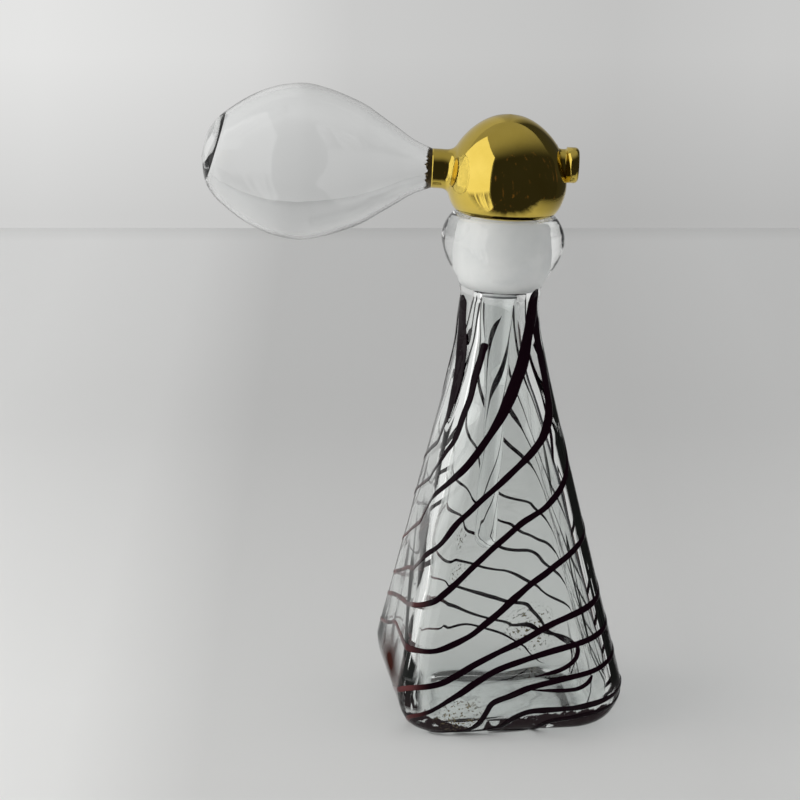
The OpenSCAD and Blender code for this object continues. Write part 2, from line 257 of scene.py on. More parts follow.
def smooth(points, steps=8):
    """Points of the smooth curve through plane points."""
    last = len(points) - 1
    out = []
    for i in range(last):
        p = [Vector(points[min(max(k, 0), last)]) for k in (i - 1, i, i + 1, i + 2)]
        for k in range(steps):
            t = k/steps
            out.append((2*p[1] + (p[2] - p[0])*t + (2*p[0] - 5*p[1] + 4*p[2] - p[3])*t*t
                        + (3*p[1] - p[0] - 3*p[2] + p[3])*t**3)/2)
    return out + [Vector(points[last])]


def stations(shares, height, radius):
    return [(s[1]*radius, s[0]*height) for s in shares]


def mesh_object(name, points, faces, materials, face_material=None, uvs=None):
    """Smooth mesh; uvs holds one (u, v) for each point."""
    mesh = bpy.data.meshes.new(name)
    mesh.from_pydata([tuple(p) for p in points], [], faces)
    for material in materials:
        mesh.materials.append(material)
    for k, polygon in enumerate(mesh.polygons):
        polygon.use_smooth = True
        if face_material:
            polygon.material_index = face_material[k]
    if uvs:
        layer = mesh.uv_layers.new(name="along")
        for loop in mesh.loops:
            layer.data[loop.index].uv = uvs[loop.vertex_index]
    obj = bpy.data.objects.new(name, mesh)
    bpy.context.collection.objects.link(obj)
    return obj


def tube_faces(rings, n, start=0):
    """Quads between rings of n points, each ring after the last, facing out for rising rings."""
    return [(start + j*n + i, start + j*n + (i + 1) % n,
             start + (j + 1)*n + (i + 1) % n, start + (j + 1)*n + i)
            for j in range(rings - 1) for i in range(n)]


def revolve(name, outline, place, materials, segments=128, bands=None):
    """Turns an outline of (radius, height) points about Z, and puts it where place says."""
    rows = []
    points = []
    for r, h in outline:
        first = len(points)
        if r < 1e-7:
            rows.append([first]*segments)
            points.append(place @ Vector((0, 0, h)))
        else:
            rows.append(list(range(first, first + segments)))
            points += [place @ Vector((r*cos(2*pi*k/segments), r*sin(2*pi*k/segments), h))
                       for k in range(segments)]
    faces = []
    slots = []
    for j in range(len(rows) - 1):
        for i in range(segments):
            k = (i + 1) % segments
            corners = [rows[j][i], rows[j][k], rows[j + 1][k], rows[j + 1][i]]
            kept = [c for n, c in enumerate(corners) if c not in corners[:n]]
            if len(kept) > 2:
                faces.append(kept)
                slots.append(bands[j] if bands else 0)
    return mesh_object(name, points, faces, materials, slots)


# Skin of the body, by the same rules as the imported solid. A turn is counted in degrees along the rounded
# square, from the rear right edge by the rear, the left and the front to the right.

WALL_HEIGHTS = [HEEL_HEIGHT, MID_HEIGHT, WAIST_HEIGHT, NECK_HEIGHT]
WALL_HALVES = [HEEL_WIDTH/2, MID_WIDTH/2, WAIST_WIDTH/2, NECK_R]


def outer_half(z):
    if z < HEEL_HEIGHT:
        tuck = (HEEL_WIDTH - FOOT_WIDTH)/2
        return HEEL_WIDTH/2 - tuck*(1 - sqrt(max(0, 1 - (1 - z/HEEL_HEIGHT)**2)))
    if z > NECK_HEIGHT:
        return NECK_R + COLLAR_FLARE*((z - NECK_HEIGHT)/COLLAR_FLARE_HEIGHT)**COLLAR_FLARE_POWER
    return curve_at(z, WALL_HEIGHTS, WALL_HALVES)


def outer_corner(z):
    t = (max(0, z - MID_HEIGHT)/(NECK_HEIGHT - MID_HEIGHT))**2
    return EDGE_R*(1 - t) + outer_half(z)*t


def inner_half(z):
    u = max(0, 1 - (z - BASE_THICK)/FLOOR_ROUND)
    wall = WALL + (NECK_R - CHANNEL_R - WALL)*ramp((z - CHANNEL_START)/(CHANNEL_FULL - CHANNEL_START))
    return outer_half(z) - wall - FLOOR_ROUND*(1 - sqrt(max(0, 1 - u*u)))


def inner_corner(z):
    t = (max(0, z - BASE_THICK)/(NECK_HEIGHT - BASE_THICK))**2
    return inner_half(z)*(RESERVOIR_ROUND_SHARE*(1 - t) + t)


def lean_at(z):
    return LEAN*ramp(1 + (z - NECK_HEIGHT)/LEAN_BLEND)


def placed(x, y, z):
    """Moves a point of the upright, square body to where the yaw and the lean put it."""
    qx = x*cos(BODY_YAW) - y*sin(BODY_YAW)
    qy = x*sin(BODY_YAW) + y*cos(BODY_YAW)
    angle = lean_at(z)
    rise = z - LEAN_HEIGHT
    return Vector((qx*cos(angle) + rise*sin(angle), qy, LEAN_HEIGHT - qx*sin(angle) + rise*cos(angle)))


def unplaced(p):
    """The point of the upright, square body that placed() moves to p."""
    z = p.z
    qx = p.x
    for _ in range(6):
        angle = lean_at(z)
        qx = p.x*cos(angle) - (p.z - LEAN_HEIGHT)*sin(angle)
        z = LEAN_HEIGHT + p.x*sin(angle) + (p.z - LEAN_HEIGHT)*cos(angle)
    return qx*cos(BODY_YAW) + p.y*sin(BODY_YAW), -qx*sin(BODY_YAW) + p.y*cos(BODY_YAW), z


def perimeter_point(turn, half, corner):
    """Point of a rounded square at a turn in degrees round its outline, from a corner's middle."""
    side = floor(turn/90)
    arc = pi*corner/2
    flat = 2*(half - corner)
    s = (turn/90 - side)*(arc + flat)
    inset = half - corner
    if s < arc/2:
        a = pi/4 + s/corner
        p = (inset + corner*cos(a), inset + corner*sin(a))
    elif s < arc/2 + flat:
        p = (inset - (s - arc/2), half)
    else:
        a = 3*pi/4 + (s - arc - flat)/corner
        p = (-inset + corner*cos(a), inset + corner*sin(a))
    a = side*pi/2
    return p[0]*cos(a) - p[1]*sin(a), p[0]*sin(a) + p[1]*cos(a)


def perimeter_turn(x, y, half, corner):
    """Turn at which the outline of a rounded square passes nearest to a point."""
    side = floor((degrees(atan2(y, x)) - 45)/90)
    a = -side*pi/2
    x, y = x*cos(a) - y*sin(a), x*sin(a) + y*cos(a)
    arc = pi*corner/2
    flat = 2*(half - corner)
    inset = half - corner
    if x > inset:
        s = corner*(atan2(y - inset, x - inset) - pi/4)
    elif x < -inset:
        s = arc + flat + corner*(atan2(y - inset, x + inset) - 3*pi/4)
    else:
        s = arc/2 + inset - x
    return 90*(side + s/(arc + flat))


def skin_point(turn, z):
    return placed(*perimeter_point(turn, outer_half(z), outer_corner(z)), z)


# Camera, and places on the skin that pixels of the photograph show

# Rays are followed in steps, from in front of the body: past its near skin, or right through it
RAY_START = 0.84
RAY_STEP = 0.5*MM
NEAR_STEPS = 260
FAR_STEPS = 420
FORWARD = Vector((0, cos(CAMERA_PITCH), -sin(CAMERA_PITCH)))
UPWARD = Vector((0, sin(CAMERA_PITCH), cos(CAMERA_PITCH)))


def pixel_ray(x, y):
    across = (x - IMAGE_PX/2)/FOCAL_PX
    down = (y - IMAGE_PX/2)/FOCAL_PX
    return (FORWARD + Vector((1, 0, 0))*across - UPWARD*down).normalized()


def outside_by(p):
    """Distance of a point from the body's outer skin, roughly, less than zero inside."""
    x, y, z = unplaced(p)
    if z < 0:
        return -z
    half, corner = outer_half(z), outer_corner(z)
    dx = max(0, abs(x) - half + corner)
    dy = max(0, abs(y) - half + corner)
    return hypot(dx, dy) - corner


def place_of(p):
    """(turn, height) of the skin nearest to a point."""
    x, y, z = unplaced(p)
    return perimeter_turn(x, y, outer_half(z), outer_corner(z)), z


def skin_place(x, y):
    """(turn, height) of the front skin at a pixel, or the nearest place if the ray passes by."""
    ray = pixel_ray(x, y)
    best = (1, None)
    for k in range(NEAR_STEPS):
        p = CAMERA_PLACE + ray*(RAY_START + k*RAY_STEP)
        d = outside_by(p)
        if d < best[0]:
            best = (d, p)
        if d < 0:
            low, high = p - ray*RAY_STEP, p
            for _ in range(12):
                mid = (low + high)/2
                if outside_by(mid) < 0:
                    high = mid
                else:
                    low = mid
            best = (0, high)
            break
    return place_of(best[1])


def far_place(x, y):
    """(turn, height) of the rear skin at a pixel, as seen straight through the body."""
    ray = pixel_ray(x, y)
    entered = False
    for k in range(FAR_STEPS):
        p = CAMERA_PLACE + ray*(RAY_START + k*RAY_STEP)
        d = outside_by(p)
        if d < 0:
            entered = True
        elif entered:
            break
    return place_of(p - ray*(RAY_STEP/2))


def add_camera():
    data = bpy.data.cameras.new("camera")
    data.sensor_width = SENSOR_MM
    data.lens = FOCAL_PX/IMAGE_PX*SENSOR_MM
    data.clip_start = 0.01
    camera = bpy.data.objects.new("camera", data)
    camera.location = CAMERA_PLACE
    camera.rotation_euler = (pi/2 - CAMERA_PITCH, 0, 0)
    bpy.context.collection.objects.link(camera)
    bpy.context.scene.camera = camera


add_camera()


# Materials
#
# The node helpers take another node's output wherever they take a value, and they return outputs.

GLASS_IOR = 1.5
# The bulb's wall is so thin that its edge hardly bends light; a low index keeps that look
BULB_IOR = 1.35
BODY_TINT = (0.955, 0.975, 0.965, 1)
BULB_TINT = (0.985, 0.99, 0.99, 1)
BODY_SHADOW = (0.93, 0.94, 0.94, 1)
BULB_SHADOW = (0.97, 0.97, 0.97, 1)
# Size of the slow waves of a polished surface, as a noise scale, and their depth in metres
BODY_WAVES = (55, 0.0006)
COLLAR_WAVES = (80, 0.0002)
ROD_WAVES = (70, 0.0002)
BULB_WAVES = (40, 0.0002)
TRAIL_WAVES = (500, 0.00012)

# Dark paint on the body's skin: painted shade along its edges, thin painted dark lines beside the right edge,
# a slanting dark line, and dark glass with painted shade at the foot. Bands give where it starts, is full, is
# full no more and ends, by the turn in degrees or the height in mm. Slits are stretched noise: its scale,
# where it cuts in and out, and its detail.
RIGHT_TURNS = (266, 267.5, 282, 288)
RIGHT_HEIGHTS = (8, 14)
RIGHT_SLITS = ((0.5, 0.02, 1), 0.42, 0.44, 1)
# Heights between which the right edge moves round the neck, and by how many degrees
NECK_BEND = (80, 118, 34)
# Painted shade: thin dark lines beside the right edge
SHADE_LINE_TURNS = (250, 256, 265, 268)
SHADE_LINE_HEIGHTS = (14, 22, 80, 95)
SHADE_LINE_SCALE = (0.12, 0.012, 1)
SHADE_LINE_COUNT = 5
SHADE_LINE_WIDTH = 0.06
# The slanting line's turn for each mm up and at height 0, and where it stops at the left front edge
SLANT = (-1.54, 211)
SLANT_LIMIT = 178
SLANT_WIDENING = (17, 50, 3.4, 7)
SLANT_HEIGHTS = (15, 18, 54, 60)
SLANT_POINT = (46, 44)
SLANT_THINNING = (62, 42)
SLANT_SLITS = ((0.4, 0.06, 1), 0.34, 0.4, 2)
# Turns, heights and slits of the painted shade on the left outline and along the left front edge
PAINTED_SHADE_PATCHES = [((88, 91, 109, 119), (1, 3, 19, 30), ((0.3, 0.05, 1), 0.38, 0.43, 2)),
                ((171, 174, 184, 187), (8, 10, 17, 21), ((0.5, 0.12, 1), 0.4, 0.46, 2))]
# The foot's band stands highest at the left front corner and along the right of the front
FOOT_CORNER_TURNS = (120, 165, 186, 212)
FOOT_FRONT_TURNS = (208, 215, 290, 310)
FOOT_FRONT_RISE = (214, 266, 0.6, 1)
FOOT_LIMITS = (0.5, 8.2)
FOOT_RAGGED = 2
FOOT_UNDER = (-2, -1)
FOOT_SLITS = ((0.13, 0.3, 1), 0.66, 0.62, 2)
# Middle and reach, in turn and height, of clear patches in the foot's band, and of a brown patch in the glass
BRIGHT_PATCHES = [((217, 5.2), (2.4, 2.2)), ((231.5, 7.4), (6, 1.3)), ((242.3, 7.4), (1.8, 0.9)),
                  ((248.5, 8.6), (3.4, 0.8))]
BROWN_PATCH = ((142, 15), (34, 6.5))
# Middles and radii, in metres, of the places where flecks of gilding stuck to the glass
FLECKS = [((-0.0124, 0.0237, 0.0422), 0.005), ((-0.0123, 0.0264, 0.0302), 0.006),
          ((0.0103, 0.0327, 0.0115), 0.009), ((-0.0109, -0.0316, 0.0068), 0.008)]
FLECK_SLITS = ((1100, 1100, 1100), 0.56, 0.6, 2)


def feed(tree, node, inputs):
    for key, value in inputs.items():
        if isinstance(value, bpy.types.NodeSocket):
            tree.links.new(value, node.inputs[key])
        else:
            node.inputs[key].default_value = value


def add(tree, kind, inputs, output=0, **settings):
    node = tree.nodes.new("ShaderNode" + kind)
    for key, value in settings.items():
        setattr(node, key, value)
    feed(tree, node, inputs)
    return node.outputs[output]


def node_material(name, inputs=None):
    """Material, tree, shader with its inputs, and surface output."""
    material = bpy.data.materials.new(name)
    material.use_nodes = True
    tree = material.node_tree
    shader = tree.nodes["Principled BSDF"]
    feed(tree, shader, inputs or {})
    return material, tree, shader, tree.nodes["Material Output"].inputs["Surface"]


def light_path(tree, kind):
    return add(tree, "LightPath", {}, "Is %s Ray" % kind)


def place_in(tree, source="Object"):
    return add(tree, "TexCoord", {}, source)


def split(tree, vector):
    """X, Y and Z of a vector."""
    node = tree.nodes.new("ShaderNodeSeparateXYZ")
    feed(tree, node, {0: vector})
    return node.outputs


def maths(tree, operation, *values):
    return add(tree, "Math", dict(enumerate(values)), operation=operation)


def product(tree, first, *others):
    for other in others:
        first = maths(tree, "MULTIPLY", first, other)
    return first


def greatest(tree, first, *others):
    for other in others:
        first = maths(tree, "MAXIMUM", first, other)
    return first


def ranged(tree, value, low, high, at_low=0, at_high=1):
    """Goes evenly from at_low to at_high while the value goes from low to high, and no further."""
    return add(tree, "MapRange", {"Value": value, "From Min": low, "From Max": high,
                                            "To Min": at_low, "To Max": at_high})


def band(tree, value, a, b, c, d):
    """Rises from 0 at a to 1 at b, and falls from 1 at c to 0 at d."""
    return product(tree, ranged(tree, value, a, b), ranged(tree, value, d, c))


def noise_at(tree, place, scale, detail, roughness=0.5):
    """Fixed noise, mostly between 0.25 and 0.75."""
    return add(tree, "TexNoise", {"Vector": place, "Scale": scale, "Detail": detail,
                                            "Roughness": roughness})


def grain(tree, place, scale, detail=3, roughness=0.6):
    """Noise that is stretched by a scale for each axis."""
    return noise_at(tree, add(tree, "Mapping", {"Vector": place, "Scale": scale}), 1, detail, roughness)


def slits(tree, place, scale, low, high, detail):
    return ranged(tree, grain(tree, place, scale, detail), low, high)


def lines(tree, place, scale, count, width):
    """Thin lines that run along the contours of stretched noise."""
    many = product(tree, grain(tree, place, scale, 1, 0.5), count)
    return ranged(tree, maths(tree, "PINGPONG", many, 0.5), width, width*0.5)


def spot(tree, place, middle, reach):
    """Distance from the middle of an oval in its own measure, 1 at its rim."""
    moved = add(tree, "Mapping", {"Vector": place, "Scale": (1/reach[0], 1/reach[1], 0),
                                            "Location": (-middle[0]/reach[0], -middle[1]/reach[1], 0)})
    return add(tree, "VectorMath", {0: moved}, "Value", operation="LENGTH")


def tones(tree, value, stops):
    """Colour at a value on a ramp of (position, colour) stops."""
    node = tree.nodes.new("ShaderNodeValToRGB")
    elements = node.color_ramp.elements
    while len(elements) < len(stops):
        elements.new(0.5)
    for element, (position, color) in zip(elements, stops):
        element.position = position
        element.color = (*color, 1)
    feed(tree, node, {"Fac": value})
    return node.outputs["Color"]


def mixed(tree, share, first, second):
    """Mix of two shaders."""
    return add(tree, "MixShader", {0: share, 1: first, 2: second})


def blended(tree, share, first, second):
    """Mix of two colours."""
    return add(tree, "Mix", {"Factor": share, "A": first, "B": second}, "Result", data_type="RGBA")


def principled(tree, inputs):
    return add(tree, "BsdfPrincipled", inputs)


def bumps(tree, shader, height, distance, strength=1):
    feed(tree, shader, {"Normal": add(tree, "Bump", {"Height": height, "Distance": distance,
                                                               "Strength": strength})})


def ripple(tree, shader, scale, distance):
    """Slow waves of a fire-polished surface."""
    bumps(tree, shader, noise_at(tree, place_in(tree), scale, 1, 0.4), distance)


def clear_shadow(tree, surface, output, tint):
    """Lets light through to what lies in the glass and under it, in place of a solid shadow."""
    light = greatest(tree, light_path(tree, "Shadow"), light_path(tree, "Diffuse"))
    clear = add(tree, "BsdfTransparent", {"Color": tint})
    tree.links.new(mixed(tree, light, surface, clear), output)


def glass_shader(name, tint, waves, ior=GLASS_IOR):
    material, tree, shader, output = node_material(name, {"Base Color": tint, "Roughness": 0, "IOR": ior,
                                                          "Transmission Weight": 1})
    ripple(tree, shader, *waves)
    return material, tree, shader, output


def glass(name, tint, waves, shadow=BODY_SHADOW, ior=GLASS_IOR):
    material, tree, shader, output = glass_shader(name, tint, waves, ior)
    clear_shadow(tree, shader.outputs[0], output, shadow)
    return material


def slanting_line(tree, along, turn, height):
    """A line that meets the left front edge low down and thins out upwards to a point."""
    middle = maths(tree, "MINIMUM", maths(tree, "MULTIPLY_ADD", height, *SLANT), SLANT_LIMIT)
    off = maths(tree, "ABSOLUTE", maths(tree, "SUBTRACT", turn, middle))
    share = maths(tree, "DIVIDE", off, ranged(tree, height, *SLANT_WIDENING))
    core = product(tree, ranged(tree, height, *SLANT_THINNING), ranged(tree, share, 0.6, 0.3))
    return product(tree, ranged(tree, share, 1.2, 0.8), band(tree, height, *SLANT_HEIGHTS),
                   greatest(tree, ranged(tree, height, *SLANT_POINT), core), slits(tree, along, *SLANT_SLITS))


# Dark glass with painted shade round the foot, with clear patches left in it
def foot_band(tree, along, turn, height):
    front = product(tree, band(tree, turn, *FOOT_FRONT_TURNS), ranged(tree, turn, *FOOT_FRONT_RISE))
    limit = ranged(tree, greatest(tree, band(tree, turn, *FOOT_CORNER_TURNS), front), 0, 1, *FOOT_LIMITS)
    ragged = add(tree, "TexNoise", {"W": turn, "Scale": 0.16, "Detail": 3, "Roughness": 0.6},
                 noise_dimensions="1D")
    top = maths(tree, "ADD", limit, ranged(tree, ragged, 0, 1, -FOOT_RAGGED, FOOT_RAGGED))
    below = ranged(tree, maths(tree, "SUBTRACT", top, height), -0.2, 0.3)
    foot = product(tree, below, ranged(tree, height, *FOOT_UNDER), slits(tree, along, *FOOT_SLITS))
    for middle, reach in BRIGHT_PATCHES:
        foot = product(tree, foot, ranged(tree, spot(tree, along, middle, reach), 0.9, 1.1))
    return foot


def dark_glass_and_painted_shade(tree, along, turn, height):
    """Dark paint: painted shade on the edges and beside the right one, and dark glass with painted shade at
    the foot.

    It shows only where the camera sees it directly, because refraction would smear it over the base.
    """
    low, high, bend = NECK_BEND
    edge = maths(tree, "SUBTRACT", turn, ranged(tree, height, low, high, 0, bend))
    right = product(tree, band(tree, edge, *RIGHT_TURNS), ranged(tree, height, *RIGHT_HEIGHTS),
                    slits(tree, along, *RIGHT_SLITS))
    shade_lines = product(tree, band(tree, turn, *SHADE_LINE_TURNS), band(tree, height, *SHADE_LINE_HEIGHTS),
                      lines(tree, along, SHADE_LINE_SCALE, SHADE_LINE_COUNT, SHADE_LINE_WIDTH))
    patches = [product(tree, band(tree, turn, *turns), band(tree, height, *heights),
                       slits(tree, along, *cuts))
               for turns, heights, cuts in PAINTED_SHADE_PATCHES]
    dark = greatest(tree, shade_lines, right, slanting_line(tree, along, turn, height),
                    foot_band(tree, along, turn, height), *patches)
    return product(tree, dark, light_path(tree, "Camera"))


def skin_material():
    """Clear glass with painted shade on its edges, dark glass and painted shade at the foot, and a few gilt
    flecks.
    """
    material, tree, shader, output = glass_shader("body_skin", BODY_TINT, BODY_WAVES)
    # Turn in degrees round the body, and height in millimetres
    along = add(tree, "UVMap", {}, uv_map="along")
    turn, height, _ = split(tree, along)
    brown = principled(tree, {"Base Color": (0.04, 0.013, 0.010, 1), "Roughness": 0.6,
                              "Specular IOR Level": 0})
    surface = mixed(tree, ranged(tree, spot(tree, along, *BROWN_PATCH), 1.2, 0.2), shader.outputs[0], brown)
    # Colour of the dark paint: reddish dark glass low at the foot, neutral painted shade higher up
    tone = blended(tree, ranged(tree, height, 8, 16), (0.026, 0.018, 0.020, 1), (0.010, 0.011, 0.010, 1))
    dark = principled(tree, {"Base Color": tone, "Roughness": 0.1, "Specular IOR Level": 0.03})
    surface = mixed(tree, dark_glass_and_painted_shade(tree, along, turn, height), surface, dark)
    place = place_in(tree)
    near = []
    for centre, radius in FLECKS:
        away = add(tree, "VectorMath", {0: place, 1: centre}, "Value", operation="DISTANCE")
        near.append(ranged(tree, away, radius, radius*0.4))
    flecks = product(tree, greatest(tree, *near), slits(tree, place, *FLECK_SLITS))
    leaf = principled(tree, {"Base Color": (0.16, 0.13, 0.06, 1), "Metallic": 0.4, "Roughness": 0.5})
    clear_shadow(tree, mixed(tree, flecks, surface, leaf), output, BODY_SHADOW)
    return material


def trail_material():
    """Nearly black glass, painted dark red in patches on the left side, where window light shines through it.
    """
    material, tree, shader, _ = node_material("dark_trail_glass", {"Roughness": 0.02, "IOR": 1.25,
                                                                   "Specular IOR Level": 0.2})
    place = place_in(tree)
    # Painted light: the red shows only on the left, the side that faces the window
    side = ranged(tree, split(tree, place)[0], -0.019, -0.027)
    lit_red = product(tree, side, ranged(tree, noise_at(tree, place, 90, 2), 0.25, 0.6))
    feed(tree, shader, {"Base Color": blended(tree, lit_red, (0.006, 0.002, 0.004, 1), (0.12, 0.035, 0.035, 1))})
    ripple(tree, shader, *TRAIL_WAVES)
    return material


def ground_material():
    """Matt white glass with a fine grit."""
    material, tree, shader, _ = node_material("ground_glass", {
        "Roughness": 0.5, "Specular IOR Level": 0.3, "Subsurface Weight": 0.8, "Subsurface Radius": (1, 1, 1),
        "Subsurface Scale": 0.004})
    place = place_in(tree)
    cloud = noise_at(tree, place, 140, 4, 0.6)
    color = tones(tree, cloud, [(0.3, (0.65, 0.66, 0.655)), (0.7, (0.74, 0.74, 0.73))])
    feed(tree, shader, {"Base Color": color})
    bumps(tree, shader, noise_at(tree, place, 4000, 3), 0.00004, 0.25)
    return material


def gold_material():
    """Bright gilding, uneven in tone and gloss, on slightly wavy glass."""
    material, tree, shader, _ = node_material("bright_gilding", {"Metallic": 1})
    place = place_in(tree)
    patches = noise_at(tree, place, 130, 3, 0.55)
    color = tones(tree, patches, [(0.3, (0.68, 0.50, 0.09)), (0.7, (0.76, 0.57, 0.12))])
    feed(tree, shader, {"Base Color": color, "Roughness": ranged(tree, patches, 0.3, 0.75, 0.03, 0.11)})
    stretched = add(tree, "Mapping", {"Vector": place, "Scale": (1, 1, 0.35)})
    bumps(tree, shader, noise_at(tree, stretched, 260, 2), 0.00002)
    return material


def gilt_glass():
    """Glass of the bulb, with the brushed edge of the gilding round its neck."""
    material, tree, shader, output = glass_shader("gilt_edged_glass", BULB_TINT, BULB_WAVES, BULB_IOR)
    feed(tree, shader, {"Specular IOR Level": 0.9})
    gilt = principled(tree, {"Base Color": (0.07, 0.05, 0.02, 1), "Metallic": 0.6, "Roughness": 0.3})
    # Share of a turn, and share of the way from the neck to the lens
    place = add(tree, "UVMap", {}, uv_map="along")
    fade = ranged(tree, split(tree, place)[1], 0, 0.05, 0.8, 0)
    edge = ranged(tree, maths(tree, "ADD", fade, grain(tree, place, (34, 6, 1))), 0.93, 0.97)
    clear_shadow(tree, mixed(tree, edge, shader.outputs[0], gilt), output, BULB_SHADOW)
    return material


body_skin = skin_material()
body_glass = glass("body_glass", BODY_TINT, BODY_WAVES)
collar_glass = glass("collar_glass", (0.97, 0.98, 0.975, 1), COLLAR_WAVES)
rod_glass = glass("rod_glass", (0.97, 0.98, 0.98, 1), ROD_WAVES)
bulb_glass = glass("bulb_glass", BULB_TINT, BULB_WAVES, BULB_SHADOW, BULB_IOR)
trail_glass = trail_material()
ground_glass = ground_material()
# Grey band for the plug's end: a painted dark reflection of its clear, polished edge
painted_edge_reflection = node_material("painted_plug_edge_reflection", {"Base Color": (0.16, 0.17, 0.17, 1), "Roughness": 0.3})[0]
gold = gold_material()
bulb_skin = gilt_glass()


# Pieces

def wavy(p, depth, size):
    """Moves a point in or out from the body's axis by slow, fixed waves."""
    out = Vector((p.x, p.y, 0))
    if out.length < 1e-6:
        return p
    calm = ramp((NECK_HEIGHT - p.z)/CALM_HEIGHT)
    return p + out.normalized()*(depth*calm*noise.noise(p/size))


def body_ring(half, corner, z, depth=0.0, size=1.0):
    return [wavy(placed(*perimeter_point(360*k/BODY_COLUMNS, half, corner), z), depth, size)
            for k in range(BODY_COLUMNS)]


def close_seam(body):
    """Lets the turns of the last column of faces end at 360 and not at 0."""
    layer = body.data.uv_layers["along"].data
    for polygon in body.data.polygons:
        turns = [layer[k].uv.x for k in polygon.loop_indices]
        if max(turns) - min(turns) > 180:
            for k in polygon.loop_indices:
                if layer[k].uv.x < 180:
                    layer[k].uv.x += 360


def make_body():
    n = BODY_COLUMNS
    up = [HEEL_HEIGHT*c for _, c in quarter(HEEL_ROWS)[:-1]]
    up += [HEEL_HEIGHT + (NECK_HEIGHT - HEEL_HEIGHT)*i/WALL_ROWS for i in range(WALL_ROWS + 1)]
    outer = [body_ring(FOOT_WIDTH/2*s, EDGE_R*s, h*MM) for s, h in UNDERSIDE]
    outer += [body_ring(outer_half(z), outer_corner(z), z, *SKIN_WAVE) for z in up]
    down = [NECK_HEIGHT - (NECK_HEIGHT - BASE_THICK - FLOOR_ROUND)*i/INSIDE_ROWS for i in range(INSIDE_ROWS)]
    down += [BASE_THICK + FLOOR_ROUND*(1 - s) for s, _ in quarter(FLOOR_ROWS)]
    inner = [body_ring(inner_half(z), inner_corner(z), z, *INSIDE_WAVE) for z in down]
    half, corner = inner_half(BASE_THICK), inner_corner(BASE_THICK)
    depth, size = INSIDE_WAVE
    inner += [body_ring(half*s, corner*s, BASE_THICK - FLOOR_DIP*(1 - s), depth*s, size)
              for s in FLOOR_SHARES]
    points = [p for r in outer + inner for p in r]
    heights = [UNPAINTED]*len(UNDERSIDE) + [z/MM for z in up + down] + [BASE_THICK/MM]*len(FLOOR_SHARES)
    uvs = [(360*k/n, h) for h in heights for k in range(n)]
    faces = [tuple(reversed(range(n)))] + tube_faces(len(outer), n)
    start = len(outer)*n
    faces += tube_faces(len(inner), n, start)
    end = len(points) - n
    faces.append(tuple(range(end, end + n)))
    outside = 1 + (len(outer) - 1)*n
    body = mesh_object("glass_body", points, faces, [body_skin, body_glass],
                       [0 if k < outside else 1 for k in range(len(faces))], uvs)
    close_seam(body)
    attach(body, "bottle")
    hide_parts("bottle_body")


def plug_radius(w):
    return PLUG_R + PLUG_TAPER*(w - PLUG_BASE)


def make_collar():
    # The first point only gives the foot the slope of the neck under it
    foot = [(NECK_R + 0.25*MM, -3*MM), (NECK_R, 0)]
    outline = smooth(foot + stations(COLLAR_SHARES, COLLAR_HEIGHT, COLLAR_R)[:-1])
    outline = [(p[0], p[1] + COLLAR_SEAT) for p in outline[8:]]
    rim_r = plug_radius(COLLAR_RIM) + PLUG_GAP
    # Rounded rim, from the widening wall over to the mouth
    shoulder, crest = RIM_SHARES
    rim = smooth([outline[-2], outline[-1], (shoulder*COLLAR_R, COLLAR_RIM - 0.25*MM),
                  (crest*COLLAR_R, COLLAR_RIM), (rim_r + 1.2*MM, COLLAR_RIM),
                  (rim_r + 0.25*MM, COLLAR_RIM - 0.15*MM), (rim_r, COLLAR_RIM - RIM_LIP)], 6)
    outline += [tuple(p) for p in rim[7:]]
    clear = len(outline) - 1
    steps = 12
    bore_end = plug_radius(NOSE_BASE) + PLUG_GAP
    top = COLLAR_RIM - RIM_LIP
    outline += [(rim_r + (bore_end - rim_r)*i/steps, top + (NOSE_BASE - top)*i/steps)
                for i in range(1, steps + 1)]
    outline += [(bore_end - (bore_end - CHANNEL_R)*c, NOSE_BASE - (NOSE_BASE - BOWL_END)*s)
                for s, c in quarter(24, 1)]
    ground = len(outline) - 3
    outline += [(CHANNEL_R, BOWL_END + (COLLAR_SEAT - BOWL_END)*i/4) for i in range(1, 5)]
    bands = [1 if clear <= j < ground else 0 for j in range(len(outline) - 1)]
    collar = revolve("round_collar", outline, LEANING, [collar_glass, ground_glass], 144, bands)
    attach(collar, "bottle")
    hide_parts("neck_collar")


def make_plug():
    nose_r = plug_radius(NOSE_BASE)
    stub_end = BOWL_END + 0.15*MM
    nose = [(PLUG_END_R, PLUG_END + (stub_end - PLUG_END)*i/5) for i in range(5)]
    nose += [(PLUG_END_R + (nose_r - PLUG_END_R)*s, stub_end + (NOSE_BASE - stub_end)*c)
             for s, c in quarter(24)]
    top_r = plug_radius(PLUG_TOP)
    outline = [(0, PLUG_END), (PLUG_END_R - 0.5*MM, PLUG_END)] + nose
    outline += [(top_r, PLUG_TOP - 0.1*MM), (top_r - 0.1*MM, PLUG_TOP), (SHANK_R, PLUG_TOP),
                (SHANK_R, PLUG_TOP + SHANK_HEIGHT), (0, PLUG_TOP + SHANK_HEIGHT)]
    # The edge of the flat end gets a grey band, a painted dark reflection of its clear, polished edge
    bands = [1 if 1 <= j < 4 else 0 for j in range(len(outline) - 1)]
    plug = revolve("frosted_plug", outline, LEANING, [ground_glass, painted_edge_reflection], 96, bands)
    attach(plug, "plug")
    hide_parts("ground_plug")


